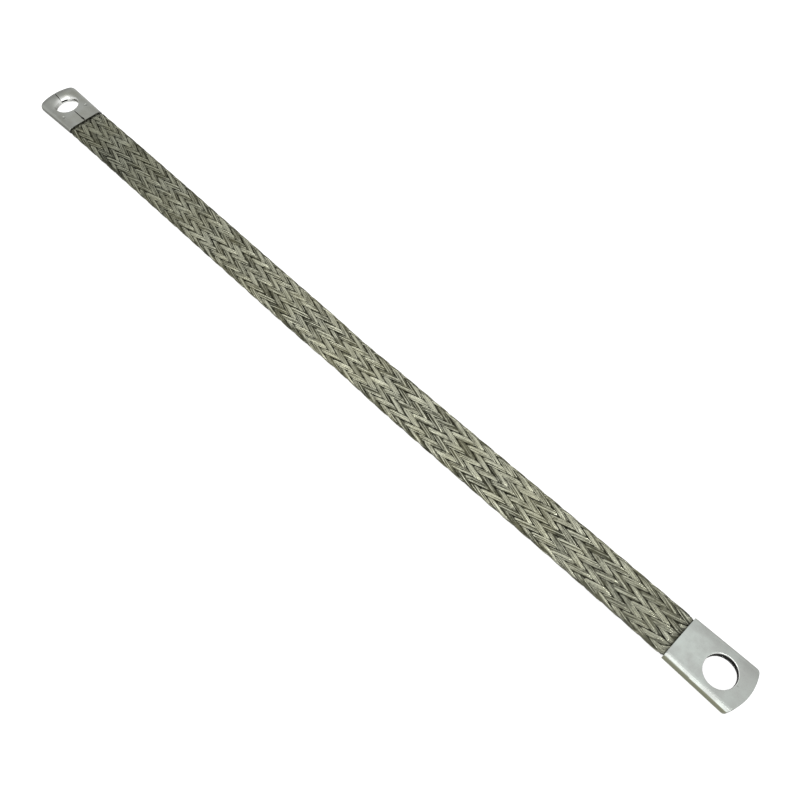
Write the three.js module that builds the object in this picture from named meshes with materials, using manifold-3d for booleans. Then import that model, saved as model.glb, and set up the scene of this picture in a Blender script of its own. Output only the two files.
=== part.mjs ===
import * as THREE from 'three';
import { mergeVertices } from 'three/addons/utils/BufferGeometryUtils.js';
import Module from 'manifold-3d';

// Flexible busbar strap: a flattened tube of braided tinned copper wire, with a pressed sheet
// sleeve on each end as its terminal. It lies flat. Millimetres, +Z up, +X along the strap from
// the far terminal to the near one, and Z = 0 is the surface that it lies on.

// Sizes of the whole strap
const overallLength = 300; // from one terminal's tip to the other's
const boltHole = 8.5; // diameter, clears an M8 bolt
const holeToTip = 8.1; // hole centre to the crown of the tip's arc
const mouthToHole = 11.9; // mouth of the sleeve to the hole centre

// Sizes of the terminal sleeve, a tube of sheet pressed flat with its butt seam on one face
const sleeveThickness = 2.6;
const sheetThickness = 0.7;
const sleeveMouthWidth = 13.8;
const sleeveTipWidth = 14.6;
const foldReach = 2; // how far in from its edge each folded side curves
const tipSagitta = 1.9; // height of the tip's arc
const tipCornerRadius = 1.1;
const seamGap = 0.3;
const stakeDiameter = 1.4; // two staking dimples beside the seam
const stakeDepth = 0.3;
const stakeSpacing = 9.4;
const stakeToHole = 5.2;

// Sizes of the braid, a tube woven two over and two under, then rolled flat
const braidWidth = 12.95;
const braidThickness = 2.6;
const bundleSpacing = 1.85; // bundle to bundle, round the braid
const weavePitch = 5.9; // bundle to bundle, along the braid
const weaveRelief = 0.5; // crown of a bundle to the bottom of the gap beside it
const gatherLength = 5.5; // stretch in which the braid narrows to enter a sleeve
const gatheredRelief = 0.08; // relief left where the braid enters a sleeve
const farSpread = 0.8; // how much wider the braid lies towards the far terminal
const waistDepth = 0.6; // narrower place where the strap has been bent
const waistPlace = 12;
const waistLength = 36;
const sideBow = 0.85; // how far the strap has set to one side
const bowPlace = 20; // where along the strap it lies furthest to that side

// Clearances
const pressClearance = 0.1; // pressed end of the braid to the sheet round it
const endRecess = 0.25; // cut end of the braid behind the sleeve's tip
const wovenTuck = 0.3; // the weave runs this far into the sleeve before its last row
const wovenInset = 0.08; // the weave's last row lies this far inside the pressed end
const cutMargin = 2; // how far a cutting body reaches past what it cuts

// Fineness of round forms
const foldSegments = 12;
const holeSegments = 48;
const arcSegments = 20;
const stakeSegments = 16;

// Sizes that follow from those above
const holeSpan = overallLength - 2 * holeToTip;
const midHeight = Math.max(sleeveThickness, braidThickness) / 2;
const freeLength = holeSpan - 2 * mouthToHole;
const cavityThickness = sleeveThickness - 2 * sheetThickness;

const wasm = await Module();
wasm.setup();

// A closed three.js geometry as a solid that can be cut and joined
function solidOf(geometry) {
  const bare = geometry.clone();
  bare.deleteAttribute('normal');
  bare.deleteAttribute('uv');
  const merged = mergeVertices(bare, 1e-5);
  const vertProperties = new Float32Array(merged.attributes.position.array);
  const triVerts = new Uint32Array(merged.index.array);
  return new wasm.Manifold(new wasm.Mesh({ numProp: 3, vertProperties, triVerts }));
}

// A solid as a three.js geometry
function geometryOf(solid) {
  const mesh = solid.getMesh();
  const geometry = new THREE.BufferGeometry();
  geometry.setAttribute('position', new THREE.BufferAttribute(new Float32Array(mesh.vertProperties), 3));
  geometry.setIndex(new THREE.BufferAttribute(new Uint32Array(mesh.triVerts), 1));
  geometry.computeVertexNormals();
  return geometry;
}

// Triangles between points as a geometry, each triangle a list of three indices
function geometryFrom(points, triangles) {
  const geometry = new THREE.BufferGeometry();
  const places = points.flatMap((p) => p.toArray());
  geometry.setAttribute('position', new THREE.Float32BufferAttribute(places, 3));
  geometry.setIndex(triangles.flat());
  return geometry;
}

// Width of the sleeve's outside at a distance x from the hole, towards the tip
function sleeveWidthAt(x) {
  const share = (x + mouthToHole) / (mouthToHole + holeToTip - tipSagitta);
  return THREE.MathUtils.lerp(sleeveMouthWidth, sleeveTipWidth, share);
}

// Outline of a pressed tube across the strap, at one place along it: two flat faces, joined by
// folds in the form of half an ellipse
function pressedSection(x, width, thickness, fold) {
  const ring = [];
  [1, -1].forEach((side) => {
    for (let step = 0; step <= foldSegments; step += 1) {
      const angle = Math.PI * (step / foldSegments - 0.5);
      const y = side * (width / 2 - fold + fold * Math.cos(angle));
      const z = side * (thickness / 2) * Math.sin(angle);
      ring.push(new THREE.Vector3(x, y, z));
    }
  });
  return ring;
}

// Solid between two outlines with equally many points
function loftBetween(first, last) {
  const count = first.length;
  const centreOf = (ring) => ring.reduce((sum, p) => sum.add(p), new THREE.Vector3()).divideScalar(count);
  const points = [...first, ...last, centreOf(first), centreOf(last)];
  const triangles = [];
  for (let i = 0; i < count; i += 1) {
    const next = (i + 1) % count;
    triangles.push([i, next, count + next], [i, count + next, count + i]);
    triangles.push([2 * count, next, i], [2 * count + 1, count + i, count + next]);
  }
  return geometryFrom(points, triangles);
}

// Pressed tube from the mouth to the tip, its walls set in by an inset, longer by a reach
function pressedTube(inset, reach) {
  const from = -mouthToHole - reach;
  const to = holeToTip + reach;
  const thickness = sleeveThickness - 2 * inset;
  const section = (x) => pressedSection(x, sleeveWidthAt(x) - 2 * inset, thickness, foldReach - inset);
  return solidOf(loftBetween(section(from), section(to)));
}

// Plan of the terminal: straight sides, round corners and an arc across the tip
function tipOutline(recess) {
  const halfWidth = sleeveTipWidth / 2;
  const arcRadius = (halfWidth ** 2 + tipSagitta ** 2) / (2 * tipSagitta);
  const arcCentre = holeToTip - arcRadius;
  const radius = arcRadius - recess;
  const cornerAngle = Math.asin(halfWidth / arcRadius);
  const roundedAngle = cornerAngle - tipCornerRadius / arcRadius;
  const corner = new THREE.Vector2(Math.cos(cornerAngle), Math.sin(cornerAngle)).multiplyScalar(radius);
  corner.x += arcCentre;
  const back = -mouthToHole - cutMargin;
  const sideAt = (x) => corner.y + (sleeveWidthAt(x) - sleeveWidthAt(corner.x)) / 2;
  const beforeCorner = corner.x - tipCornerRadius;
  const outline = new THREE.Shape();
  outline.moveTo(back, -sideAt(back));
  outline.lineTo(beforeCorner, -sideAt(beforeCorner));
  outline.quadraticCurveTo(
    corner.x,
    -corner.y,
    arcCentre + radius * Math.cos(roundedAngle),
    -radius * Math.sin(roundedAngle),
  );
  outline.absarc(arcCentre, 0, radius, -roundedAngle, roundedAngle, false);
  outline.quadraticCurveTo(corner.x, corner.y, beforeCorner, sideAt(beforeCorner));
  outline.lineTo(back, sideAt(back));
  outline.closePath();
  const depth = sleeveThickness + 2 * cutMargin;
  const settings = { depth, bevelEnabled: false, curveSegments: arcSegments };
  const block = new THREE.ExtrudeGeometry(outline, settings);
  return solidOf(block.translate(0, 0, -depth / 2));
}

// Round punch through the hole, its diameter as given
function holePunch(diameter) {
  const height = sleeveThickness + 2 * cutMargin;
  const punch = new THREE.CylinderGeometry(diameter / 2, diameter / 2, height, holeSegments);
  return solidOf(punch.rotateX(Math.PI / 2));
}

// Thin bar that leaves the butt seam open along the middle of the upper sheet
function seamCutter() {
  const length = mouthToHole + holeToTip + 2 * cutMargin;
  const height = sheetThickness + cavityThickness / 2;
  const bar = new THREE.BoxGeometry(length, seamGap, height);
  return solidOf(bar.translate((holeToTip - mouthToHole) / 2, 0, height / 2 + cavityThickness / 4));
}

// Round dimples that stake the upper sheet down on the braid
function stakeCutters() {
  const radius = ((stakeDiameter / 2) ** 2 + stakeDepth ** 2) / (2 * stakeDepth);
  const ball = () => new THREE.SphereGeometry(radius, stakeSegments, stakeSegments);
  const height = sleeveThickness / 2 + radius - stakeDepth;
  return [-1, 1].map((side) => solidOf(ball().translate(-stakeToHole, (side * stakeSpacing) / 2, height)));
}

// Terminal sleeve about its hole centre, with its tip towards +X and its seam on the upper face
function makeSleeve() {
  const outside = pressedTube(0, 0);
  const cavity = pressedTube(sheetThickness, cutMargin);
  let sleeve = outside.subtract(cavity).intersect(tipOutline(0)).subtract(holePunch(boltHole));
  sleeve = sleeve.subtract(seamCutter());
  stakeCutters().forEach((cutter) => {
    sleeve = sleeve.subtract(cutter);
  });
  return geometryOf(sleeve);
}

// Pressed end of the braid inside a sleeve, in the sleeve's own frame, with the hole punched
function makeTongue() {
  const body = pressedTube(sheetThickness + pressClearance, -pressClearance);
  const punch = holePunch(boltHole + 2 * pressClearance);
  return geometryOf(body.intersect(tipOutline(endRecess)).subtract(punch));
}

// How far the braid has opened to its free size at a place along the strap, from 0 to 1
function openingAt(x) {
  const fromMouth = freeLength / 2 - Math.abs(x);
  return THREE.MathUtils.smoothstep(fromMouth, 0, gatherLength);
}

// Width of the braid at a place along the strap, where it has opened to its free size
function braidWidthAt(x) {
  const spread = farSpread * THREE.MathUtils.smoothstep(-x, 0, freeLength / 2);
  const share = THREE.MathUtils.clamp((x - waistPlace) / waistLength, -0.5, 0.5);
  return braidWidth + spread - (waistDepth * (1 + Math.cos(2 * Math.PI * share))) / 2;
}

// Sideways set of the strap at a place along it, none inside the sleeves
function bowAt(x) {
  const end = Math.sign(x - bowPlace) * (freeLength / 2);
  const share = THREE.MathUtils.clamp((x - bowPlace) / (end - bowPlace), 0, 1);
  return (-sideBow * (1 + Math.cos(Math.PI * share))) / 2;
}

// Point on the braid's surface: a fraction of the way round it, sunk by a depth below the crowns
function braidPoint(x, fraction, depth) {
  const opening = openingAt(x);
  const gatheredWidth = sleeveMouthWidth - 2 * (sheetThickness + pressClearance + wovenInset);
  const gatheredThickness = cavityThickness - 2 * (pressClearance + wovenInset);
  const width = THREE.MathUtils.lerp(gatheredWidth, braidWidthAt(x), opening);
  const thickness = THREE.MathUtils.lerp(gatheredThickness, braidThickness, opening);
  const radius = thickness / 2;
  const flat = width - thickness;
  const bend = Math.PI * radius;
  const reach = radius - depth;
  let travel = fraction * 2 * (flat + bend);
  let side = 1;
  if (travel >= flat + bend) {
    travel -= flat + bend;
    side = -1;
  }
  const along = Math.min(travel, flat);
  const angle = Math.max(travel - flat, 0) / radius;
  const y = side * (flat / 2 - along - reach * Math.sin(angle));
  const z = side * reach * Math.cos(angle);
  return new THREE.Vector3(x, y + bowAt(x), z + midHeight);
}

// Woven length of the braid. Bundles of both hands cross on a diamond grid of lines round the
// braid and rows along it. Each crossing is a diamond with its crown in the middle and gaps at
// its corners. A bundle shows over two crossings in a row, so their crowns share a ridge.
function makeWeave() {
  const perimeter = 2 * (braidWidth - braidThickness) + Math.PI * braidThickness;
  const lines = 4 * Math.max(Math.round(perimeter / (2 * bundleSpacing)), 2);
  const rows = 2 * Math.round((freeLength + 2 * wovenTuck) / weavePitch) + 2;
  const rowStep = (freeLength + 2 * wovenTuck) / (rows - 2);
  const points = [];
  const isCrown = (line, row) => (line + row) % 2 === 0;
  for (let row = 0; row <= rows; row += 1) {
    const x = (row - rows / 2) * rowStep;
    const relief = THREE.MathUtils.lerp(gatheredRelief, weaveRelief, openingAt(x));
    for (let line = 0; line < lines; line += 1) {
      points.push(braidPoint(x, line / lines, isCrown(line, row) ? 0 : relief));
    }
  }
  const at = (line, row) => row * lines + ((line + lines) % lines);
  const triangles = [];
  // For each place of a line in the pattern of four: the two steps to the crown it shares a ridge with
  const partners = [[1, 1], [-1, -1], [1, -1], [-1, 1]];
  for (let row = 1; row < rows; row += 1) {
    for (let line = row % 2; line < lines; line += 2) {
      const crown = at(line, row);
      const gaps = [at(line + 1, row), at(line, row + 1), at(line - 1, row), at(line, row - 1)];
      const quarters = [[1, 1], [-1, 1], [-1, -1], [1, -1]];
      const [lineMove, rowMove] = partners[line % 4];
      const hasPartner = row + rowMove > 0 && row + rowMove < rows;
      quarters.forEach(([quarterLine, quarterRow], quarter) => {
        const start = gaps[quarter];
        const end = gaps[(quarter + 1) % 4];
        if (hasPartner && quarterLine === lineMove && quarterRow === rowMove) {
          triangles.push([crown, start, at(line + lineMove, row + rowMove)]);
        } else {
          triangles.push([crown, start, end]);
        }
      });
    }
  }
  // Close both ends, hidden inside the sleeves
  [0, rows].forEach((endRow) => {
    const inner = endRow === 0 ? 1 : rows - 1;
    const centre = points.length;
    points.push(new THREE.Vector3((endRow - rows / 2) * rowStep, 0, midHeight));
    for (let line = 0; line < lines; line += 1) {
      const pick = (l) => at(l, isCrown(l, endRow) ? inner : endRow);
      const edge = [pick(line), pick(line + 1)];
      triangles.push(endRow === 0 ? [centre, edge[1], edge[0]] : [centre, edge[0], edge[1]]);
    }
  });
  return geometryFrom(points, triangles);
}

// Whole braid: the weave with a pressed end in each sleeve
function makeBraid() {
  const weave = solidOf(makeWeave());
  const nearTongue = solidOf(makeTongue().translate(holeSpan / 2, 0, midHeight));
  const farTongue = solidOf(makeTongue().rotateZ(Math.PI).translate(-holeSpan / 2, 0, midHeight));
  return geometryOf(weave.add(nearTongue).add(farTongue));
}

const tin = new THREE.MeshStandardMaterial({ color: 0xb2b6b2, roughness: 0.36, metalness: 0.9 });
const tinnedWire = new THREE.MeshStandardMaterial({ color: 0x86876f, roughness: 0.42, metalness: 0.85 });

const strap = new THREE.Group();

const braid = new THREE.Mesh(makeBraid(), tinnedWire);
braid.name = 'braid';
strap.add(braid);

const farSleeve = new THREE.Mesh(makeSleeve(), tin);
farSleeve.name = 'far_sleeve';
farSleeve.rotation.z = Math.PI;
farSleeve.position.set(-holeSpan / 2, 0, midHeight);
strap.add(farSleeve);

const nearSleeve = new THREE.Mesh(makeSleeve(), tin);
nearSleeve.name = 'near_sleeve';
nearSleeve.rotation.x = Math.PI;
nearSleeve.position.set(holeSpan / 2, 0, midHeight);
strap.add(nearSleeve);

export default strap;
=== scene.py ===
"""A flexible busbar strap: flat braid of tinned copper wire with a pressed sheet terminal on each end.

The braid is woven wire by wire, two over and two under, round a flattened tube. Each terminal is
a sleeve of tinned sheet pressed on the braid, with a punched bolt hole. Everything is in metres.
"""

import logging
import math
import random
from dataclasses import dataclass
from enum import Enum, IntEnum

import bmesh
import bpy
from mathutils import Matrix, Quaternion, Vector, noise

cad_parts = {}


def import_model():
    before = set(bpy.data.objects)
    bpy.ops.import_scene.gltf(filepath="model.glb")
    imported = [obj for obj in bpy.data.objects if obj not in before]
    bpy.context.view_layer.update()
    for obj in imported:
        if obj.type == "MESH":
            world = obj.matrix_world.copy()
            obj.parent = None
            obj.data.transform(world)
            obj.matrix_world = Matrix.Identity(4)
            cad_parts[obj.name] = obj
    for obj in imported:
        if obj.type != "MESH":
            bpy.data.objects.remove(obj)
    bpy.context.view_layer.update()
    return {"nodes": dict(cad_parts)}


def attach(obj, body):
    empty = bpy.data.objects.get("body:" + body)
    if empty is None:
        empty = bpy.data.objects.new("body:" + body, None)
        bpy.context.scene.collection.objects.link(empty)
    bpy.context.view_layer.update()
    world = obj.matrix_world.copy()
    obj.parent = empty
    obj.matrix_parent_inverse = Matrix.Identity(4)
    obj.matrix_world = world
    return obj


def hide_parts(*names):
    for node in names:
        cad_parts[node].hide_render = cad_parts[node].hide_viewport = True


log = logging.getLogger("busbar_strap")

ROOT_BODY = "root"
SHEET_SLOT = "tinned_sheet"
WIRE_SLOT = "tinned_wire"
FAR_NODE = "far_sleeve"
NEAR_NODE = "near_sleeve"
BRAID_NODE = "braid"
TONE_NAME = "wire_tone"
SUNK_NAME = "wire_sunk"

# Places that the braid and both sleeves share.
HOLE_X = 0.1419
HOLE_RADIUS = 0.00425
MID_HEIGHT = 0.0013

# Rings of points that filled caps add for each wire, ahead of all the tubes of a bundle.
END_CAPS = 2

# Cells that what lies in a sleeve is cut into, and the length that counts as nought.
CELL = 0.00048
CELLED_LENGTH = 0.0125
TINY = 1e-6

Colour = tuple[float, float, float]
Place = tuple[float, float, float]
Range = tuple[float, float]
WireRecord = tuple[list[float], list[float]]
Socket = bpy.types.NodeSocket
Node = bpy.types.Node
Tree = bpy.types.NodeTree
Material = bpy.types.Material
Finishes = tuple[Material, ...]
Piece = bpy.types.Object
Mesh = bpy.types.Mesh
Shape = bmesh.types.BMesh


class Hand(Enum):
    """Which way a bundle of wires winds round the braid as it runs towards the near terminal."""

    RISING = 1
    FALLING = -1


class CoreFace(IntEnum):
    """Place of each material on the braid's inner layer."""

    WIRES = 0
    FAR_CUT = 1
    NEAR_CUT = 2


class SleeveFace(IntEnum):
    """Place of each material on a sleeve."""

    SHEET = 0
    MOUTH = 1
    WALL = 2
    WIRE_ENDS = 3


def smooth_step(value: float, start: float, end: float) -> float:
    """Eased share of the way from start to end.

    Args:
        value: The place to measure.
        start: Place where the share is nought.
        end: Place where the share is one.

    Returns:
        A share from 0 to 1.
    """
    share = min(max((value - start) / (end - start), 0.0), 1.0)
    return share * share * (3.0 - 2.0 * share)


def mix(first: float, last: float, share: float) -> float:
    """Value part of the way from one to another.

    Args:
        first: Value at share 0.
        last: Value at share 1.
        share: The share of the way.

    Returns:
        The value.
    """
    return first + (last - first) * share


@dataclass(frozen=True)
class BraidForm:
    """Outer form of the braid: a flattened tube that narrows into both sleeves.

    Places along the braid are x, places round it are shares of a full turn. The two shares named
    inside say how much of the gathering and of the flare reaches into a sleeve.
    """

    half_free: float = 0.130
    width: float = 0.01295
    thickness: float = 0.0026
    far_spread: float = 0.0008
    waist_depth: float = 0.0006
    waist_place: float = 0.012
    waist_length: float = 0.036
    side_bow: float = 0.00085
    bow_place: float = 0.020
    gather_length: float = 0.0011
    gather_inside: float = 0.125
    gathered_width: float = 0.01225
    gathered_thickness: float = 0.00106
    flare_length: float = 0.0014
    flare_inside: float = 0.25
    mouth_width: float = 0.01345
    widening: Range = (0.2, 1.0)
    edge_reach: Range = (0.80, 0.995)

    def opening(self, x: float) -> float:
        """How far the braid has opened to its free size.

        Args:
            x: Place along the strap.

        Returns:
            A share from 0 to 1.
        """
        inside = -self.gather_length * self.gather_inside
        return smooth_step(self.half_free - abs(x), inside, self.gather_length)

    def free_width(self, x: float) -> float:
        """Width that the braid has at x once it has opened.

        Args:
            x: Place along the strap.

        Returns:
            Width in metres.
        """
        spread = self.far_spread * smooth_step(-x, 0.0, self.half_free)
        share = min(max((x - self.waist_place) / self.waist_length, -0.5), 0.5)
        return self.width + spread - self.waist_depth * (1.0 + math.cos(2.0 * math.pi * share)) / 2.0

    def bow(self, x: float) -> float:
        """Sideways set of the strap at x.

        Args:
            x: Place along the strap.

        Returns:
            Offset along Y in metres.
        """
        end = math.copysign(self.half_free, x - self.bow_place)
        share = min(max((x - self.bow_place) / (end - self.bow_place), 0.0), 1.0)
        return -self.side_bow * (1.0 + math.cos(math.pi * share)) / 2.0

    def edge_share(self, x: float, turn: float) -> float:
        """How near a place is to either edge of the strap, from 0 on its faces to 1 at the edge.

        Args:
            x: Place along the strap.
            turn: Share of the way round.

        Returns:
            The share.
        """
        place = self.point(x, turn, 0.0)
        reach = abs(place.y - self.bow(x)) / (self.free_width(x) / 2.0)
        return smooth_step(reach, *self.edge_reach)

    def point(self, x: float, turn: float, depth: float) -> Vector:
        """Point on the braid, sunk below its crowns.

        Args:
            x: Place along the strap.
            turn: Share of the way round, from the +Y end of the upper face.
            depth: How far below the crowns the point lies.

        Returns:
            The point in the strap's frame.
        """
        opening = self.opening(x)
        outside = mix(self.mouth_width, self.free_width(x), smooth_step(opening, *self.widening))
        inside = -self.flare_length * self.flare_inside
        flare = smooth_step(self.half_free - abs(x), inside, self.flare_length)
        width = mix(self.gathered_width, outside, flare)
        radius = mix(self.gathered_thickness, self.thickness, opening) / 2.0
        flat = width - 2.0 * radius
        bend = math.pi * radius
        travel = (turn % 1.0) * 2.0 * (flat + bend)
        side = 1.0
        if travel >= flat + bend:
            travel -= flat + bend
            side = -1.0
        along = min(travel, flat)
        angle = max(travel - flat, 0.0) / radius
        reach = radius - depth
        y = side * (flat / 2.0 - along - reach * math.sin(angle))
        z = side * reach * math.cos(angle)
        return Vector((x, y + self.bow(x), z + MID_HEIGHT))


def link(obj: Piece) -> Piece:
    """Puts an object in the scene.

    Args:
        obj: The new object.

    Returns:
        The same object.
    """
    bpy.context.scene.collection.objects.link(obj)
    return obj


def settle(mesh: Mesh, slot: str, *nodes: str) -> None:
    """Makes a piece of a finished mesh, which rides on the strap under the mesh's name.

    Args:
        mesh: The finished mesh.
        slot: Material slot of the record; it is not used.
        nodes: Names of the solids that the piece stands for.
    """
    obj = link(bpy.data.objects.new(mesh.name, mesh))
    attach(obj, ROOT_BODY)
    if nodes:
        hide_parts(*nodes)
    log.info("%s: %d faces", obj.name, len(mesh.polygons))


def write_values(mesh: Mesh, name: str, values: list[float]) -> None:
    """Writes one number on each point of a mesh.

    Args:
        mesh: The mesh.
        name: Name of the attribute.
        values: The numbers, in the order of the points.
    """
    layer = mesh.attributes.new(name, "FLOAT", "POINT")
    layer.data.foreach_set("value", values)


class NodeBoard:
    """Short hand for laying out shader nodes in one tree."""

    def __init__(self, tree: Tree) -> None:
        """Keeps the tree to work in.

        Args:
            tree: A material's node tree or a node group.
        """
        self.tree = tree

    def add(self, kind: str, group: Tree | None = None, **sockets: object) -> Node:
        """Adds a node and fills its inputs.

        Args:
            kind: Name of the node type.
            group: The shared group that a group node stands for.
            sockets: Inputs by name, with spaces written as underscores, each a value or an output.

        Returns:
            The new node.
        """
        node = self.tree.nodes.new(kind)
        if group is not None:
            node.node_tree = group
        for name, value in sockets.items():
            self.feed(node.inputs[name.replace("_", " ")], value)
        return node

    def feed(self, socket: Socket, value: object) -> None:
        """Sets an input to a value, or links an output to it.

        Args:
            socket: The input.
            value: Its value or an output, where a colour is three numbers.
        """
        if isinstance(value, Socket):
            self.tree.links.new(value, socket)
        elif socket.type == "RGBA":
            socket.default_value = (*value, 1.0)
        else:
            socket.default_value = value

    def attribute(self, name: str) -> Socket:
        """Numbers written on the mesh.

        Args:
            name: Name of the attribute.

        Returns:
            The output with the number.
        """
        node = self.tree.nodes.new("ShaderNodeAttribute")
        node.attribute_name = name
        return node.outputs["Fac"]

    def math(self, operation: str, first: object, last: object = 0.0) -> Socket:
        """Sum of two values, or another operation on them.

        Args:
            operation: Blender's name of the operation.
            first: First value or output.
            last: Second value or output.

        Returns:
            The output with the answer.
        """
        node = self.tree.nodes.new("ShaderNodeMath")
        node.operation = operation
        self.feed(node.inputs[0], first)
        self.feed(node.inputs[1], last)
        return node.outputs[0]

    def blend(self, share: object, first: object, last: object, kind: str = "MIX") -> Socket:
        """Mixes two colours.

        Args:
            share: How much of the second colour shows.
            first: First colour or output.
            last: Second colour or output.
            kind: Blender's name of the blend type.

        Returns:
            The output with the mixed colour.
        """
        node = self.tree.nodes.new("ShaderNodeMix")
        node.data_type = "RGBA"
        node.blend_type = kind
        self.feed(node.inputs[0], share)
        self.feed(node.inputs[6], first)
        self.feed(node.inputs[7], last)
        return node.outputs[2]

    def spread(self, value: object, low: float, high: float, to_low: float = 0, to_high: float = 1) -> Socket:
        """Maps a range of values to another, eased and held at its ends.

        Args:
            value: Value or output to map.
            low: Start of the range.
            high: End of the range.
            to_low: Answer at the start.
            to_high: Answer at the end.

        Returns:
            The output with the mapped value.
        """
        node = self.tree.nodes.new("ShaderNodeMapRange")
        node.interpolation_type = "SMOOTHSTEP"
        for socket, number in zip(node.inputs, (value, low, high, to_low, to_high)):
            self.feed(socket, number)
        return node.outputs[0]

    def noise(self, vector: Socket, scale: object, detail: float = 2.0) -> Socket:
        """Soft noise on a vector.

        Args:
            vector: Output with the place.
            scale: Features per metre, a value or an output.
            detail: Number of finer layers.

        Returns:
            The output with a value from 0 to 1.
        """
        return self.add("ShaderNodeTexNoise", Vector=vector, Scale=scale, Detail=detail).outputs["Fac"]


class NodeGroups:
    """The effects that several finishes share, each built once as a node group."""

    cloud_range: Range = (0.32, 0.68)
    speck_range: Range = (0.35, 0.72)
    hair_range: Range = (0.70, 0.78)
    hair_turns: Range = (0.5, -1.1)
    hair_stretches: Range = (0.055, 0.08)
    hair_fineness: float = 5.0

    def __init__(self) -> None:
        """Builds the groups."""
        self.mottle = self.build_mottle()
        self.scratches = self.build_scratches()

    @staticmethod
    def start(name: str, inputs: dict[str, float], *outputs: str) -> tuple[Tree, NodeBoard, Node, Node]:
        """Makes an empty group with a place input and number sockets.

        Args:
            name: Name of the group.
            inputs: Number inputs with their values.
            outputs: Names of the number outputs.

        Returns:
            The group, its board, its input node and its output node.
        """
        group = bpy.data.node_groups.new(name, "ShaderNodeTree")
        group.interface.new_socket("Place", in_out="INPUT", socket_type="NodeSocketVector")
        for label, value in inputs.items():
            socket = group.interface.new_socket(label, in_out="INPUT", socket_type="NodeSocketFloat")
            socket.default_value = value
        for label in outputs:
            group.interface.new_socket(label, in_out="OUTPUT", socket_type="NodeSocketFloat")
        entry = group.nodes.new("NodeGroupInput")
        leave = group.nodes.new("NodeGroupOutput")
        return group, NodeBoard(group), entry, leave

    def build_mottle(self) -> Tree:
        """Cloudy patches with fine speckle, as dull tin has.

        Returns:
            The group, with Patch and Speck outputs.
        """
        inputs = {"Cloud": 260.0, "Fine": 2600.0}
        group, board, entry, leave = self.start("tin_mottle", inputs, "Patch", "Speck")
        cloud = board.noise(entry.outputs["Place"], entry.outputs["Cloud"], 4.0)
        fine = board.noise(entry.outputs["Place"], entry.outputs["Fine"], 3.0)
        board.feed(leave.inputs["Patch"], board.spread(cloud, *self.cloud_range))
        board.feed(leave.inputs["Speck"], board.spread(fine, *self.speck_range))
        return group

    def build_scratches(self) -> Tree:
        """Fine handling scratches in two directions.

        Returns:
            The group, with a Mask output.
        """
        group, board, entry, leave = self.start("hair_scratches", {"Density": 420.0}, "Mask")
        masks = []
        for turn, stretch in zip(self.hair_turns, self.hair_stretches):
            angles = (0.0, 0.0, turn)
            sizes = (stretch, 1.0, 1.0)
            place = entry.outputs["Place"]
            mapping = board.add("ShaderNodeMapping", Vector=place, Rotation=angles, Scale=sizes)
            scale = board.math("MULTIPLY", entry.outputs["Density"], self.hair_fineness)
            lines = board.noise(mapping.outputs["Vector"], scale, 1.0)
            masks.append(board.spread(lines, *self.hair_range))
        board.feed(leave.inputs["Mask"], board.math("MAXIMUM", *masks))
        return group


@dataclass(frozen=True)
class Finish:
    """A metal finish laid out on the shader, which each kind fills in its own way."""

    name: str
    groups: NodeGroups
    metal: float = 1.0
    grain_strength: float = 0.35
    grain_depth: float = 0.000012

    def open(self) -> tuple[Material, NodeBoard, Node]:
        """Starts the material.

        Returns:
            The material, its board and its Principled shader.
        """
        material = bpy.data.materials.new(self.name)
        material.use_nodes = True
        shader = material.node_tree.nodes["Principled BSDF"]
        shader.inputs["Metallic"].default_value = self.metal
        return material, NodeBoard(material.node_tree), shader

    def grain(self, board: NodeBoard, shader: Node, height: Socket) -> None:
        """Gives the surface its fine unevenness.

        Args:
            board: The material's board.
            shader: The material's shader.
            height: Output with the height.
        """
        strength = self.grain_strength
        bump = board.add("ShaderNodeBump", Strength=strength, Distance=self.grain_depth, Height=height)
        board.feed(shader.inputs["Normal"], bump.outputs["Normal"])


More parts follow.
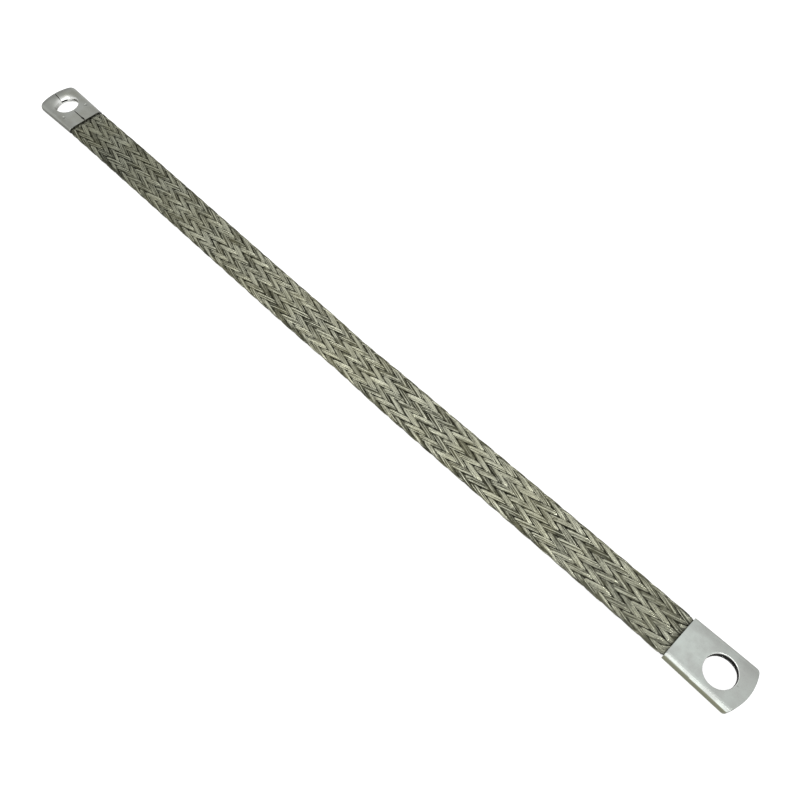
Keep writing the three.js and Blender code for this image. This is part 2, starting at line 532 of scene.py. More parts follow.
@dataclass(frozen=True)
class TinnedSheet(Finish):
    """Dull bright tin on pressed sheet, with olive painted shade on the turned sides of the rolled folds.

    The painted shade in the hollows beside the rolled folds takes the rear one's depth of tone first and
    then the front one's. A painted highlight lies near the hole, bounded by reach from the hole's axis,
    by slope and by place across the strap. The sheet is drawn darker towards its tip, also painted shade.
    """

    metal: float = 0.82
    face: Colour = (0.568, 0.614, 0.577)
    warm: Colour = (0.440, 0.458, 0.435)
    speck_tone: Colour = (0.33, 0.34, 0.31)
    speck_share: float = 0.10
    hair_tone: Colour = (0.72, 0.74, 0.70)
    hair_share: float = 0.25
    hair_height: float = -0.8
    # Painted shade: the sheet is drawn darker towards its tip.
    tip_shade_tone: Colour = (0.335, 0.345, 0.325)
    tip_places: Range = (0.1335, 0.1492)
    tip_shade_share: float = 0.45
    tip_way: float = 1.0
    # Painted shade in the hollows beside the rolled folds.
    crease_shade_tone: Colour = (0.10, 0.10, 0.09)
    crease_shade_depths: Range = (0.12, 0.02)
    crease_start: Range = (0.0030, 0.0054)
    crease_end: Range = (0.0058, 0.0064)
    # Painted shade on the turned sides of the rolled folds: grey on the rear side, olive on the front side.
    rear_fold_shade: Colour = (0.300, 0.310, 0.285)
    rear_slope: Range = (0.30, 0.90)
    fold_shade: Colour = (0.222, 0.228, 0.163)
    fold_slope: Range = (0.46, 0.57)
    fold_roughness: float = 0.15
    patch_roughness: Range = (0.20, 0.27)
    # Painted highlight on the rim of the hole and the slopes beside it.
    hole_highlight_tone: Colour = (0.86, 0.87, 0.84)
    highlight_reach: Range = (0.0046, 0.0064)
    highlight_slope: Range = (0.975, 0.80)
    highlight_places: Range = (-0.0030, 0.0005)
    highlight_front: float = 0.30

    def build(self) -> Material:
        """Builds the material.

        Returns:
            The finished material.
        """
        material, board, shader = self.open()
        surface = board.add("ShaderNodeTexCoord").outputs
        where = surface["Object"]
        mottle = board.add("ShaderNodeGroup", self.groups.mottle, Place=where, Cloud=210.0, Fine=2400.0)
        hairs = board.add("ShaderNodeGroup", self.groups.scratches, Place=where, Density=380.0)
        scratch = hairs.outputs["Mask"]
        tone = board.blend(mottle.outputs["Patch"], self.face, self.warm)
        speck = board.math("MULTIPLY", mottle.outputs["Speck"], self.speck_share)
        tone = board.blend(speck, tone, self.speck_tone)
        tone = board.blend(board.math("MULTIPLY", scratch, self.hair_share), tone, self.hair_tone)
        sides = board.add("ShaderNodeSeparateXYZ", Vector=surface["Normal"])
        along = board.add("ShaderNodeSeparateXYZ", Vector=where)
        # Painted shade towards the tip.
        reach = board.math("MULTIPLY", along.outputs["X"], self.tip_way)
        tip = board.spread(reach, *self.tip_places, 0.0, self.tip_shade_share)
        tone = board.blend(tip, tone, self.tip_shade_tone)
        # Painted shade in the hollows beside the rolled folds, on both sides of the strap.
        for way, depth in zip((1.0, -1.0), self.crease_shade_depths):
            aside = board.math("MULTIPLY", along.outputs["Y"], way)
            rising = board.spread(aside, *self.crease_start, 0.0, depth)
            crease_shade = board.math("MINIMUM", rising, board.spread(aside, *self.crease_end, depth, 0.0))
            tone = board.blend(crease_shade, tone, self.crease_shade_tone)
        # Painted shade on the folds' turned sides, picked by the normal's Y: the rear side, then the front
        # side.
        tone = board.blend(board.spread(sides.outputs["Y"], *self.rear_slope), tone, self.rear_fold_shade)
        turned_shade = board.spread(board.math("MULTIPLY", sides.outputs["Y"], -1.0), *self.fold_slope)
        tone = board.blend(turned_shade, tone, self.fold_shade)
        # Painted highlight near the hole.
        tone = board.blend(self.painted_highlight(board, along, sides), tone, self.hole_highlight_tone)
        board.feed(shader.inputs["Base Color"], tone)
        dulled = board.math("MULTIPLY", turned_shade, self.fold_roughness)
        patchy = board.spread(mottle.outputs["Patch"], 0.0, 1.0, *self.patch_roughness)
        board.feed(shader.inputs["Roughness"], board.math("ADD", patchy, dulled))
        cuts = board.math("MULTIPLY", scratch, self.hair_height)
        self.grain(board, shader, board.math("ADD", mottle.outputs["Speck"], cuts))
        return material

    def painted_highlight(self, board: NodeBoard, along: Node, sides: Node) -> Socket:
        """Painted highlight on the rim of the hole and the slopes beside it.

        Args:
            board: The material's board.
            along: Separated place on the surface.
            sides: Separated normal of the surface.

        Returns:
            The output with a share from 0 to 1.
        """
        away = board.math("SUBTRACT", along.outputs["X"], self.tip_way * HOLE_X)
        squares = [board.math("POWER", side, 2.0) for side in (away, along.outputs["Y"])]
        reach = board.math("SQRT", board.math("ADD", *squares))
        near_hole = board.spread(reach, *self.highlight_reach, 1.0, 0.0)
        slope = board.spread(board.math("ABSOLUTE", sides.outputs["Z"]), *self.highlight_slope)
        rear = board.spread(along.outputs["Y"], *self.highlight_places, self.highlight_front, 1.0)
        return board.math("MULTIPLY", board.math("MULTIPLY", near_hole, slope), rear)


@dataclass(frozen=True)
class TinnedWire(Finish):
    """Fine tinned copper wire, greyed and a little yellow with age; painted shade where it lies deep."""

    metal: float = 0.92
    grain_strength: float = 0.3
    grain_depth: float = 0.00002
    grain_scale: float = 5200.0
    bright: Colour = (0.615, 0.620, 0.496)
    dull: Colour = (0.058, 0.060, 0.039)
    tone_range: Range = (-0.60, 1.05)
    speck_share: float = 0.45
    yellow: Colour = (0.36, 0.345, 0.215)
    yellow_share: float = 0.30
    # Painted shade: the far half of the braid is drawn darker.
    far_shade_tint: Colour = (0.310, 0.325, 0.300)
    far_places: Range = (0.005, -0.125)
    far_shade: float = 0.56
    # The braid is drawn darker towards the near sleeve.
    near_dark_tone: Colour = (0.085, 0.090, 0.072)
    near_places: Range = (0.080, 0.128)
    near_darkening: float = 0.37
    # Painted shade where a wire lies deep under the other hand, and on the outer wires of each bundle.
    deep: Colour = (0.022, 0.022, 0.013)
    deep_shade_range: Range = (0.32, 0.72)
    deep_shade_share: float = 0.95
    roughness: Range = (0.40, 0.17)

    def build(self) -> Material:
        """Builds the material.

        Returns:
            The finished material.
        """
        material, board, shader = self.open()
        where = board.add("ShaderNodeTexCoord").outputs["Object"]
        mottle = board.add("ShaderNodeGroup", self.groups.mottle, Place=where, Cloud=150.0, Fine=1900.0)
        age = board.math("MULTIPLY", mottle.outputs["Speck"], self.speck_share)
        share = board.math("SUBTRACT", board.attribute(TONE_NAME), age)
        colour = board.blend(board.spread(share, *self.tone_range), self.dull, self.bright)
        yellow = board.math("MULTIPLY", mottle.outputs["Patch"], self.yellow_share)
        colour = board.blend(yellow, colour, self.yellow)
        along = board.add("ShaderNodeSeparateXYZ", Vector=where).outputs["X"]
        # Painted shade over the far half of the braid.
        far = board.spread(along, *self.far_places, 0.0, self.far_shade)
        # Darker towards the near sleeve.
        near = board.spread(along, *self.near_places, 0.0, self.near_darkening)
        colour = board.blend(far, colour, self.far_shade_tint, "MULTIPLY")
        colour = board.blend(near, colour, self.near_dark_tone)
        # Painted shade where the wire lies deep.
        sunk = board.spread(board.attribute(SUNK_NAME), *self.deep_shade_range, 0.0, self.deep_shade_share)
        board.feed(shader.inputs["Base Color"], board.blend(sunk, colour, self.deep))
        board.feed(shader.inputs["Roughness"], board.spread(share, 0.0, 1.0, *self.roughness))
        self.grain(board, shader, board.noise(where, self.grain_scale))
        return material


@dataclass(frozen=True)
class CutWire(Finish):
    """Cut pressed wire: a crowd of small wire ends in a dark ground, which is painted shade in the hole."""

    grain_strength: float = 0.4
    grain_depth: float = 0.00005
    ground: Colour = (0.008, 0.008, 0.006)
    ends: Colour = (0.045, 0.044, 0.038)
    wire_size: float = 0.00024
    dot_range: Range = (0.25, 0.48)
    shown_range: Range = (0.35, 0.9)
    roughness: float = 0.70

    def build(self) -> Material:
        """Builds the material.

        Returns:
            The finished material.
        """
        material, board, shader = self.open()
        where = board.add("ShaderNodeTexCoord").outputs["Object"]
        cells = board.add("ShaderNodeTexVoronoi", Vector=where, Scale=1.0 / self.wire_size)
        dots = board.spread(cells.outputs["Distance"], *self.dot_range, 1.0, 0.0)
        pick = board.add("ShaderNodeSeparateColor", Color=cells.outputs["Color"]).outputs[0]
        shown = board.math("MULTIPLY", dots, board.spread(pick, *self.shown_range))
        board.feed(shader.inputs["Base Color"], board.blend(shown, self.ground, self.ends))
        shader.inputs["Roughness"].default_value = self.roughness
        self.grain(board, shader, dots)
        return material


@dataclass(frozen=True)
class Ripple:
    """A smooth random wave along the strap: how fast it runs, which one of many it is, and its reach."""

    pace: float
    level: float
    reach: float

    def at(self, x: float, row: float, start: float = 0.0) -> float:
        """Height of the wave.

        Args:
            x: Place along the strap.
            row: Number of the wire or bundle that it belongs to.
            start: Where on the wave the strap's middle lies.

        Returns:
            From about minus its reach to its reach.
        """
        return noise.noise(Vector((x * self.pace + start, row, self.level))) * self.reach


class BundleHabit:
    """The small errors that make one bundle its own: where it strays, spreads and twists."""

    narrow: float = 0.11
    stray: Ripple = Ripple(110.0, 4.4, 0.16)
    narrow_more: Ripple = Ripple(170.0, 22.3, 0.09)
    turn: Ripple = Ripple(140.0, 31.6, 0.00006)
    streak: Ripple = Ripple(420.0, 55.0, 0.95)
    patch: Ripple = Ripple(137.0, 70.4, 0.50)
    row_share: float = 1.7
    phases: float = 60.0
    middle_tone: float = 0.52
    bundle_spread: float = 0.07
    wire_phases: float = 90.0
    wire_spread: float = 0.58

    def __init__(self, rng: random.Random) -> None:
        """Draws the bundle's own numbers.

        Args:
            rng: Seeded source of them.
        """
        self.phase = rng.uniform(0.0, self.phases)
        self.row = self.phase * self.row_share
        self.base_tone = rng.gauss(self.middle_tone, self.bundle_spread)
        self.rng = rng

    def draw_wire(self) -> tuple[float, float]:
        """Draws the next wire's own numbers.

        Returns:
            The number that picks its waves, and how much brighter than its bundle it is.
        """
        phase = self.rng.uniform(0.0, self.wire_phases)
        return phase, self.rng.gauss(0.0, self.wire_spread)

    def errors(self, x: float, loose: float) -> tuple[float, float, float]:
        """The bundle's errors of place, width and twist.

        Args:
            x: Place along the strap.
            loose: How loose the weave is there.

        Returns:
            How far it strays in lines of the weave, how much of its width it fills, and how far its
            outer wire is raised.
        """
        waves = (self.stray, self.narrow_more, self.turn)
        stray, wider, turn = (wave.at(x, self.row, self.phase) * loose for wave in waves)
        return stray, 1.0 - self.narrow * loose + wider, turn

    def tone(self, x: float, phase: float, shade: float) -> float:
        """Brightness of the tin at x, from 0 to 1.

        Args:
            x: Place along the strap.
            phase: The number that picks the wire's waves.
            shade: How much brighter than its bundle the wire is.

        Returns:
            The tone.
        """
        patch = self.patch.at(x, self.row, self.phase)
        return self.base_tone + shade + self.streak.at(x, phase) + patch


@dataclass(frozen=True)
class WireWeave:
    """The woven wires: bundles of both hands, each a flat ribbon of wires side by side.

    The caps of each wire are joined to it across the cap gap, so that it is closed.
    """

    form: BraidForm
    lines: int = 32
    rows: int = 90
    row_step: float = 0.2606 / 88
    wires: int = 7
    wire_radius: float = 0.000122
    cap_gap: float = 1e-8
    stations_a_row: int = 3
    crown_drop: float = 0.00011
    crossing_depth: float = 0.00036
    pressed_crossing: float = 0.35
    least_depth: float = 0.7
    rising_crest: float = 0.5
    falling_crest: float = 2.5
    dive_sharpness: float = 3.0
    looseness: Range = (0.90, 1.06)
    loosening: Range = (-0.08, 0.07)
    wander_side: Ripple = Ripple(190.0, 1.7, 0.34)
    wander_height: Ripple = Ripple(260.0, 9.1, 0.00006)
    # Painted shade on the outer wires of each bundle.
    outer_wire_shade: float = 0.30
    # Painted shade: wires are drawn darker towards both edges of the strap.
    edge_shade: float = 0.84
    seed: int = 41
    seed_stride: int = 100
    rising_seed: int = 7

    def lift(self, line: float, hand: Hand) -> float:
        """How high a bundle lies at a place round the braid.

        Args:
            line: Place round the braid, in lines of the weave.
            hand: Which way the bundle winds.

        Returns:
            From -1, under the other hand, to 1, over it.
        """
        crest = self.rising_crest if hand is Hand.RISING else self.falling_crest
        wave = math.cos(math.pi * (line - crest) / 2.0)
        return math.tanh(self.dive_sharpness * wave) / math.tanh(self.dive_sharpness)

    def wire_path(
        self, hand: Hand, bundle: int, wire: int, habit: BundleHabit
    ) -> tuple[list[Vector], WireRecord]:
        """Course of one wire from sleeve to sleeve.

        Args:
            hand: Which way its bundle winds.
            bundle: Number of the bundle.
            wire: Number of the wire in the bundle.
            habit: The small errors of its bundle.

        Returns:
            Its points, and the wire's record: how deep each is sunk from 0 to 1, and its tone there.
        """
        middle = (self.wires - 1) / 2.0
        across = (wire - middle) / middle
        phase, shade = habit.draw_wire()
        points = []
        sunk = []
        tones = []
        for station in range(self.rows * self.stations_a_row + 1):
            row = station / self.stations_a_row
            x = (row - self.rows / 2.0) * self.row_step
            opening = self.form.opening(x)
            loose = mix(*self.looseness, smooth_step(x, *self.loosening)) * opening
            stray, fill, twist = habit.errors(x, loose)
            offset = (wire - middle + self.wander_side.at(x, phase) * loose) * 2.0 * fill / self.wires
            centre = 2.0 * bundle + hand.value * row
            turn = (centre + offset + stray) / self.lines
            lift = self.lift(centre + offset / 2.0, hand)
            rise = self.wander_height.at(x, phase) * loose + across * twist
            swing = self.crossing_depth * mix(self.pressed_crossing, 1.0, opening) * (1.0 - lift) / 2.0
            depth = self.wire_radius + swing + self.crown_drop * across * across - rise
            depth = max(depth, self.wire_radius * self.least_depth)
            points.append(self.form.point(x, turn, depth))
            # How deep the wire lies, more for its bundle's outer wires; this sets the painted shade.
            sunk.append((1.0 - lift) / 2.0 + self.outer_wire_shade * across**4)
            # Painted shade towards both edges of the strap.
            edge = self.form.edge_share(x, turn)
            tones.append(habit.tone(x, phase, shade) - self.edge_shade * edge)
        return points, (sunk, tones)

    def bundle(self, hand: Hand, number: int, finish: Material) -> None:
        """Makes one bundle of wires.

        Args:
            hand: Which way it winds.
            number: Number of the bundle.
            finish: Material of the wire.
        """
        seed = self.seed + self.seed_stride * number + (self.rising_seed if hand is Hand.RISING else 0)
        habit = BundleHabit(random.Random(seed))
        name = f"bundle_{hand.name.lower()}_{number:02d}"
        curve = bpy.data.curves.new(name, "CURVE")
        curve.dimensions = "3D"
        curve.bevel_depth = self.wire_radius
        curve.bevel_resolution = 1
        curve.use_fill_caps = True
        records = []
        for wire in range(self.wires):
            points, record = self.wire_path(hand, number, wire, habit)
            spline = curve.splines.new("POLY")
            spline.points.add(len(points) - 1)
            for slot, point in zip(spline.points, points):
                slot.co = (*point, 1.0)
            records.append(record)
        holder = link(bpy.data.objects.new(name + "_curve", curve))
        graph = bpy.context.evaluated_depsgraph_get()
        mesh = bpy.data.meshes.new_from_object(holder.evaluated_get(graph))
        bpy.data.objects.remove(holder)
        mesh.name = name
        self.record_tones(mesh, records)
        shape = bmesh.new()
        shape.from_mesh(mesh)
        bmesh.ops.remove_doubles(shape, verts=shape.verts, dist=self.cap_gap)
        shape.to_mesh(mesh)
        shape.free()
        mesh.materials.append(finish)
        mesh.shade_smooth()
        settle(mesh, WIRE_SLOT)

    def record_tones(self, mesh: Mesh, records: list[WireRecord]) -> None:
        """Writes each wire's tone and how deep it is sunk on the mesh.

        Args:
            mesh: Mesh of the bundle.
            records: For each wire, its sunk shares and its tones.
        """
        rings = len(records) * (self.rows * self.stations_a_row + 1 + END_CAPS)
        ring = len(mesh.vertices) // rings
        cap_points = len(records) * END_CAPS * ring
        shades = [0.0] * cap_points
        depths = [1.0] * cap_points
        for sunk, tones in records:
            for share, tone in zip(sunk, tones):
                shades.extend([tone] * ring)
                depths.extend([share] * ring)
        write_values(mesh, TONE_NAME, shades)
        write_values(mesh, SUNK_NAME, depths)

    def build(self, finish: Material) -> None:
        """Makes all the bundles.

        Args:
            finish: Material of the wire.
        """
        for hand in Hand:
            for number in range(self.lines // 2):
                self.bundle(hand, number, finish)


@dataclass(frozen=True)
class TipPress:
    """How the seamed sheet is pressed down on the other one, on the tip's side of the hole.

    The seam is chipped open at one place and drawn shut where it meets the hole and the tip.
    """

    hole_x: float
    tip_way: float
    seam_way: float
    depth: float = 0.00132
    outer_reach: float = 0.0074
    steepness: float = 1.8
    tip_turn: Range = (0.05, 0.92)
    wall_face: float = 0.0009
    chip_place: float = -0.0106
    chip_length: float = 0.0013
    chip_depth: float = 0.00024
    seam_reach: float = 0.0003
    closing: float = 0.00011
    closing_length: float = 0.0012
    tip_reach: float = 0.0081

    def reach(self, point: Vector) -> float:
        """Distance from the hole's axis.

        Args:
            point: The point to measure.

        Returns:
            The distance.
        """
        return math.hypot(point.x - self.hole_x, point.y)

    def local(self, point: Vector) -> Range:
        """A point as the hole's middle has it.

        Args:
            point: The point to measure.

        Returns:
            How far it lies towards the tip, and how high on the seam's side.
        """
        return (point.x - self.hole_x) * self.tip_way, (point.z - MID_HEIGHT) * self.seam_way

    def pressed(self, point: Vector) -> Vector:
        """Place of a point once the sheet is pressed.

        Args:
            point: The point before.

        Returns:
            The point after.
        """
        along, height = self.local(point)
        reach = self.reach(point)
        if reach < TINY:
            return point
        outward = (reach - HOLE_RADIUS) / (self.outer_reach - HOLE_RADIUS)
        near_hole = (1.0 - min(max(outward, 0.0), 1.0)) ** self.steepness
        towards_tip = smooth_step(along / reach, *self.tip_turn)
        share = smooth_step(height, -self.wall_face, self.wall_face)
        drop = self.depth * near_hole * towards_tip * share
        chip = max(1.0 - abs(along - self.chip_place) / self.chip_length, 0.0) if height > 0.0 else 0.0
        closed = smooth_step(along, self.tip_reach - self.closing_length, self.tip_reach)
        closed += smooth_step(reach, HOLE_RADIUS + self.closing_length, HOLE_RADIUS)
        opening = self.chip_depth * chip - self.closing * closed
        aside = opening * math.copysign(1.0, point.y) if abs(point.y) < self.seam_reach else 0.0
        return Vector((point.x, point.y + aside, point.z - drop * self.seam_way))


def cut_cells(shape: Shape, centre_x: float, inner_end: float, half_width: float) -> None:
    """Cuts what lies in a sleeve into small cells, so that it can be pressed.

    Args:
        shape: The mesh to cut.
        centre_x: Place of the bolt hole, the middle of the cells.
        inner_end: Distance from the strap's middle at which the cells begin.
        half_width: Half the width that is cut.
    """
    steps = int(CELLED_LENGTH / CELL)
    places = [((centre_x + step * CELL, 0.0, 0.0), (1.0, 0.0, 0.0)) for step in range(-steps, steps)]
    steps = int(half_width / CELL)
    places += [((0.0, (step + 0.5) * CELL, 0.0), (0.0, 1.0, 0.0)) for step in range(-steps, steps)]
    for place, way in places:
        faces = [f for f in shape.faces if f.calc_center_median().x * centre_x > inner_end * abs(centre_x)]
        edges = {edge for face in faces for edge in face.edges}
        verts = {vert for face in faces for vert in face.verts}
        bmesh.ops.bisect_plane(shape, geom=[*verts, *edges, *faces], dist=TINY, plane_co=place, plane_no=way)


@dataclass(frozen=True)
class BraidCore:
    """Inner layer of the braid, with the pressed wire that fills both sleeves, drawn dark as painted shade.
    """

    form: BraidForm
    far_press: TipPress
    near_press: TipPress
    name: str = "inner_braid"
    shrink: float = 0.00052
    mouth_shrink: float = 0.00024
    mouth_lap: float = 0.0004
    cells_inside: float = 0.0005
    cells_half_width: float = 0.0066
    snug: float = 1.18
    flush: float = 0.981
    punched_reach: float = 0.00438
    tone: float = 0.2

    def build(self, node: Piece, finishes: Finishes) -> None:
        """Makes the core from the braid's solid, drawn in under the wires.

        Args:
            node: The braid's solid.
            finishes: Materials of the inner wires, and of the cut wire ends in the far sleeve and
                in the near one.
        """
        mesh = bpy.data.meshes.new(self.name)
        shape = bmesh.new()
        shape.from_mesh(node.data)
        bmesh.ops.remove_doubles(shape, verts=shape.verts, dist=TINY)
        edge = self.form.half_free
        for press in (self.far_press, self.near_press):
            cut_cells(shape, press.hole_x, edge + self.cells_inside, self.cells_half_width)
        shape.normal_update()
        for vert in shape.verts:
            if abs(vert.co.x) < edge + self.mouth_lap:
                amount = mix(self.mouth_shrink, self.shrink, self.form.opening(vert.co.x))
                vert.co -= vert.normal * amount
            else:
                vert.co.z = MID_HEIGHT + (vert.co.z - MID_HEIGHT) * self.snug
            press = self.far_press if vert.co.x < 0.0 else self.near_press
            if press.reach(vert.co) < self.punched_reach:
                vert.co.x = press.hole_x + (vert.co.x - press.hole_x) * self.flush
                vert.co.y *= self.flush
            vert.co = press.pressed(vert.co)
        shape.normal_update()
        for face in shape.faces:
            place = face.calc_center_median().x
            face.smooth = abs(place) < edge
            cut = CoreFace.FAR_CUT if place < 0.0 else CoreFace.NEAR_CUT
            face.material_index = CoreFace.WIRES if face.smooth else cut
        shape.to_mesh(mesh)
        shape.free()
        for finish in finishes:
            mesh.materials.append(finish)
        # Written as fully sunk, so the inner layer takes the wire's painted shade colour all over.
        write_values(mesh, TONE_NAME, [self.tone] * len(mesh.vertices))
        write_values(mesh, SUNK_NAME, [1.0] * len(mesh.vertices))
        settle(mesh, WIRE_SLOT, BRAID_NODE)


@dataclass(frozen=True)
class Terminal:
    """A sleeve of tinned sheet pressed flat on the braid, with its bolt hole.

    The rim is the hole's, the stakes are the two dimples beside the seam. A slope is a share of the
    face's normal along one axis. On the part of the hole's wall that is named open, which is all of
    it if nothing is given, dark cut wires show in place of sheet: painted shade of the hole's wall.
    """

    name: str
    node: str
    press: TipPress
    open_y: Range = (-0.01, 0.01)
    open_tipward: float = -0.01
    open_above: float = -0.01
    merge_reach: float = 2e-6
    flat_angle: float = math.radians(1.0)
    sharp_angle: float = math.radians(38.0)
    edge_round: float = 0.00016
    edge_segments: int = 3
    rim_round: float = 0.00030
    rim_margin: float = 0.00004
    rim_height: float = 0.0012
    level_margin: float = 0.00001
    hole_clear: float = 0.0006
    seam_clear: float = 0.0006
    stake_reach: float = 0.0070
    stake_length: float = 0.0012
    stake_y: float = 0.0047
    stake_width: float = 0.0009
    half_width: float = 0.0075
    wall_margin: float = 0.00006
    wall_slope: float = 0.35
    mouth_reach: float = 0.0115
    mouth_slope: float = 0.8
    least_edge: float = 5e-7

    def build(self, solid: Piece, finishes: Finishes) -> None:
        """Makes the sleeve from its solid, with its edges eased and its tip pressed down.

        Args:
            solid: The sleeve's solid.
            finishes: Materials of its sheet, the cut edge at its mouth, the hole's wall, and the cut
                wires that show there.
        """
        mesh = bpy.data.meshes.new(self.name)
        shape = bmesh.new()
        shape.from_mesh(solid.data)
        bmesh.ops.remove_doubles(shape, verts=shape.verts, dist=self.merge_reach)
        bmesh.ops.dissolve_limit(
            shape, angle_limit=self.flat_angle, verts=shape.verts, edges=shape.edges, delimit={"NORMAL"}
        )
        sharp = [e for e in shape.edges if len(e.link_faces) == 2 and e.calc_face_angle() > self.sharp_angle]
        widths = [(edge, self.rounding(edge)) for edge in sharp]
        for amount in (self.edge_round, self.rim_round):
            edges = [edge for edge, width in widths if width == amount and edge.is_valid]
            rounded = {"segments": self.edge_segments, "profile": 0.5, "affect": "EDGES", "material": -1}
            bmesh.ops.bevel(shape, geom=edges, offset=amount, clamp_overlap=True, **rounded)
        bmesh.ops.triangulate(shape, faces=shape.faces)
        cut_cells(shape, self.press.hole_x, 0.0, self.half_width)
        for vert in shape.verts:
            vert.co = self.press.pressed(vert.co)
        shape.normal_update()
        self.choose_finishes(shape)
        bmesh.ops.dissolve_degenerate(shape, edges=shape.edges, dist=self.least_edge)
        shape.to_mesh(mesh)
        shape.free()
        mesh.set_sharp_from_angle(angle=self.sharp_angle)
        for finish in finishes:
            mesh.materials.append(finish)
        settle(mesh, SHEET_SLOT, self.node)

    def choose_finishes(self, shape: Shape) -> None:
        """Gives the mouth, the hole's wall and the cut wires there their own materials.

        Args:
            shape: The sleeve.
        """
        for face in shape.faces:
            face.smooth = True
            centre = face.calc_center_median()
            reach = self.press.reach(centre)
            along, height = self.press.local(centre)
            # The mouth's end face takes a nearly black material: a dark cut edge, and painted shade of the
            # gap under it.
            if reach > self.mouth_reach and abs(face.normal.x) > self.mouth_slope:
                face.material_index = SleeveFace.MOUTH
            # The open part of the hole's wall takes the dark cut wire: painted shade in the hole.
            elif reach < HOLE_RADIUS + self.wall_margin and abs(face.normal.z) < self.wall_slope:
                within = self.open_y[0] < centre.y < self.open_y[1]
                opened = within and along > self.open_tipward and height > self.open_above
                face.material_index = SleeveFace.WIRE_ENDS if opened else SleeveFace.WALL

    def rounding(self, edge: bmesh.types.BMEdge) -> float:
        """How wide a sharp edge is rounded: more on the hole's rim, and not at the seam and the stakes.

        Args:
            edge: The edge.

        Returns:
            The width, or nought for an edge that stays sharp.
        """
        first, last = edge.verts
        around = all(abs(self.press.reach(vert.co) - HOLE_RADIUS) < self.rim_margin for vert in edge.verts)
        level = abs(first.co.z - last.co.z) < self.level_margin
        if around and level and abs(first.co.z - MID_HEIGHT) > self.rim_height:
            return self.rim_round
        middle = (first.co + last.co) / 2.0
        reach = self.press.reach(middle)
        away = reach > HOLE_RADIUS + self.hole_clear and abs(middle.y) > self.seam_clear
        beside = abs(abs(middle.y) - self.stake_y) < self.stake_width
        stake = beside and abs(reach - self.stake_reach) < self.stake_length
        return self.edge_round if away and not stake else 0.0


@dataclass(frozen=True)
class Lamp:
    """A soft square lamp that faces the strap: its place, the length of its sides and its watts."""

    name: str
    place: Place
    size: float
    power: float

    def hang(self) -> None:
        """Puts the lamp in the scene."""
        data = bpy.data.lights.new(self.name, "AREA")
        data.shape = "SQUARE"
        data.size = self.size
        data.energy = self.power
        obj = link(bpy.data.objects.new(self.name, data))
        obj.location = self.place
        obj.rotation_mode = "QUATERNION"
        obj.rotation_quaternion = (-Vector(self.place)).to_track_quat("-Z", "Y")


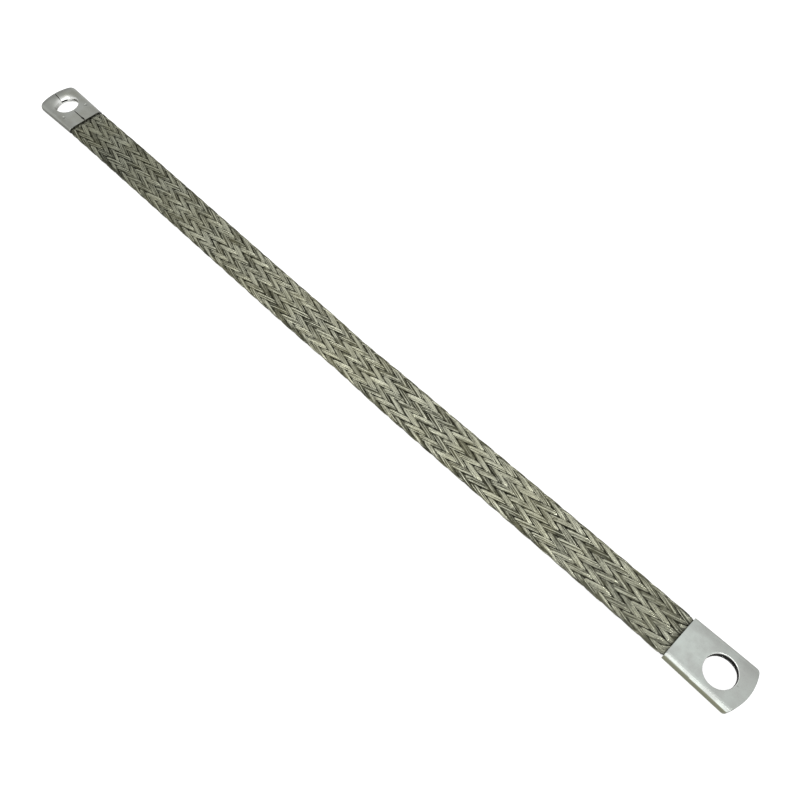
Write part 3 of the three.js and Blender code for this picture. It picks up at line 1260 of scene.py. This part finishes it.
@dataclass(frozen=True)
class Studio:
    """White floor and surround, soft lamps and the camera at the photograph's place."""

    camera_place: Place = (0.12791, -0.08646, 0.21616)
    camera_aim: Place = (0.03232, -0.00052, 0.0)
    camera_roll: float = math.radians(-2.639)
    camera_lens: float = 39.091
    camera_sensor: float = 36.0
    camera_clip: Range = (0.01, 50.0)
    floor_size: float = 8.0
    floor_drop: float = 0.00005
    floor_tone: Colour = (0.80, 0.80, 0.80)
    floor_glow: float = 0.66
    floor_glow_seen: float = 0.24
    white: Colour = (1.0, 1.0, 1.0)
    surround: float = 0.60
    lamps: tuple[Lamp, ...] = (
        Lamp("overhead", (0.04, -0.42, 0.91), 0.60, 1.50),
        Lamp("glint", (0.36, 0.02, 0.94), 0.10, 1.0),
        Lamp("side", (-0.24, -0.62, 0.76), 0.24, 0.75),
    )

    def build(self) -> None:
        """Makes the camera, floor, surround and lamps."""
        self.camera()
        self.floor()
        self.world()
        for lamp in self.lamps:
            lamp.hang()

    def camera(self) -> None:
        """Sets the camera where the photograph was taken from."""
        data = bpy.data.cameras.new("camera")
        data.lens = self.camera_lens
        data.sensor_width = self.camera_sensor
        data.clip_start, data.clip_end = self.camera_clip
        obj = link(bpy.data.objects.new("camera", data))
        look = (Vector(self.camera_aim) - Vector(self.camera_place)).to_track_quat("-Z", "Y")
        obj.rotation_mode = "QUATERNION"
        obj.rotation_quaternion = look @ Quaternion((0.0, 0.0, 1.0), self.camera_roll)
        obj.location = self.camera_place
        bpy.context.scene.camera = obj
        bpy.context.scene.view_settings.view_transform = "Standard"

    @staticmethod
    def seen(board: NodeBoard) -> Socket:
        """Rays that show the white ground: camera, glossy and transmission rays.

        Args:
            board: Board of the floor or the surround.

        Returns:
            The output that is 1 for these rays.
        """
        path = board.add("ShaderNodeLightPath")
        shown = board.math("MAXIMUM", path.outputs["Is Camera Ray"], path.outputs["Is Glossy Ray"])
        return board.math("MAXIMUM", shown, path.outputs["Is Transmission Ray"])

    def floor(self) -> None:
        """Makes the white floor, which keeps a soft shadow."""
        mesh = bpy.data.meshes.new("floor")
        shape = bmesh.new()
        under = Matrix.Translation((0.0, 0.0, -self.floor_drop))
        bmesh.ops.create_grid(shape, x_segments=2, y_segments=2, size=self.floor_size / 2.0, matrix=under)
        shape.to_mesh(mesh)
        shape.free()
        material = bpy.data.materials.new("pale_floor")
        material.use_nodes = True
        board = NodeBoard(material.node_tree)
        material.node_tree.nodes.clear()
        diffuse = board.add("ShaderNodeBsdfDiffuse", Color=self.floor_tone)
        path = board.add("ShaderNodeLightPath")
        more = self.floor_glow - self.floor_glow_seen
        straight = board.math("MULTIPLY", path.outputs["Is Camera Ray"], more)
        seen = board.math("MULTIPLY", self.seen(board), self.floor_glow_seen)
        strength = board.math("ADD", seen, straight)
        glow = board.add("ShaderNodeEmission", Color=self.white, Strength=strength)
        total = board.tree.nodes.new("ShaderNodeAddShader")
        board.feed(total.inputs[0], diffuse.outputs[0])
        board.feed(total.inputs[1], glow.outputs[0])
        board.add("ShaderNodeOutputMaterial", Surface=total.outputs[0])
        mesh.materials.append(material)
        link(bpy.data.objects.new("floor", mesh))

    def world(self) -> None:
        """Sets the surround: white where it is seen, plain soft light otherwise."""
        world = bpy.data.worlds.new("surround")
        world.use_nodes = True
        bpy.context.scene.world = world
        board = NodeBoard(world.node_tree)
        world.node_tree.nodes.clear()
        strength = board.spread(self.seen(board), 0.0, 1.0, self.surround, 1.0)
        back = board.add("ShaderNodeBackground", Color=self.white, Strength=strength)
        board.add("ShaderNodeOutputWorld", Surface=back.outputs[0])


def main() -> None:
    """Builds the strap on its frame."""
    logging.basicConfig(level=logging.INFO, format="%(message)s")
    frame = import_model()
    nodes = frame["nodes"]
    groups = NodeGroups()
    near_sheet = TinnedSheet("tinned_sheet", groups).build()
    # The far sleeve's sheet is a darker copy of the same tin: painted shade over the whole far sleeve.
    far_sheet = TinnedSheet(
        "tinned_sheet_seamed_shaded",
        groups,
        face=(0.325, 0.335, 0.312),
        warm=(0.285, 0.290, 0.255),
        fold_shade=(0.190, 0.193, 0.172),
        rear_fold_shade=(0.215, 0.220, 0.198),
        tip_shade_tone=(0.150, 0.155, 0.145),
        tip_places=(0.1472, 0.1492),
        tip_shade_share=0.55,
        tip_way=-1.0,
        fold_slope=(0.60, 0.75),
        crease_shade_depths=(0.16, 0.22),
    ).build()
    wire = TinnedWire("tinned_wire", groups).build()
    cut = CutWire("cut_wire_shaded", groups).build()
    form = BraidForm()
    WireWeave(form).build(wire)
    far_press = TipPress(-HOLE_X, tip_way=-1.0, seam_way=1.0)
    near_press = TipPress(HOLE_X, tip_way=1.0, seam_way=-1.0, depth=0.0008)
    smeared = CutWire("smeared_wire", groups, ground=(0.16, 0.16, 0.14), ends=(0.42, 0.42, 0.38))
    BraidCore(form, far_press, near_press).build(nodes[BRAID_NODE], (wire, smeared.build(), cut))
    # Nearly black cut edge for the mouths: partly the dark cut edge, partly painted shade of the gap under
    # it.
    sheared_and_shaded = TinnedSheet("sheared_sheet_shaded", groups, face=(0.12, 0.12, 0.11), warm=(0.09, 0.09, 0.08)).build()
    # On the far sleeve only a thin part of the wall beside the seam takes the dark cut wire: painted shade.
    gap = {"open_y": (0.0, 0.0022), "open_tipward": 0.0, "open_above": -0.0006}
    far = Terminal("far_terminal", FAR_NODE, far_press, **gap)
    far.build(nodes[FAR_NODE], (far_sheet, sheared_and_shaded, far_sheet, cut))
    near = Terminal("near_terminal", NEAR_NODE, near_press)
    near.build(nodes[NEAR_NODE], (near_sheet, sheared_and_shaded, cut, cut))
    Studio().build()


if __name__ == "__main__":
    main()
